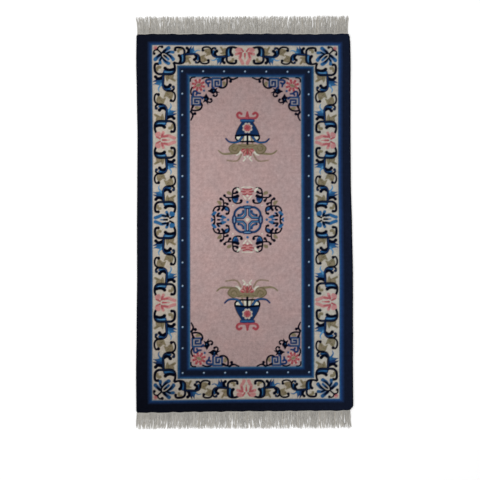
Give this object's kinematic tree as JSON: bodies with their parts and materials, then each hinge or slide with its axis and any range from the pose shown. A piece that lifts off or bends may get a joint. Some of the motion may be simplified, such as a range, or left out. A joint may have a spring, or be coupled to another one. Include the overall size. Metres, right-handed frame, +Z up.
{
  "type": "hand-knotted rug",
  "caption": "Flat hand-knotted wool pile rug, oblong, with a medallion, vases, fret corners and a scroll border, and a cotton warp fringe at each end.",
  "frame": {"origin": "on the floor, under the middle of the rug's box, fringe included", "axes": "+X across the rug, +Y along it to its far end, +Z up out of the pile"},
  "size_m": [0.9188, 1.7642, 0.012],
  "materials": {
    "wool_pile": "matte cut wool pile, dyed in navy, blue, cream, rose and olive",
    "cotton_fringe": "matte undyed cotton yarn"
  },
  "bodies": {
    "root": {"pile_cloth": "wool_pile", "fringe_near": "cotton_fringe", "fringe_far": "cotton_fringe"}
  },
  "joints": []
}
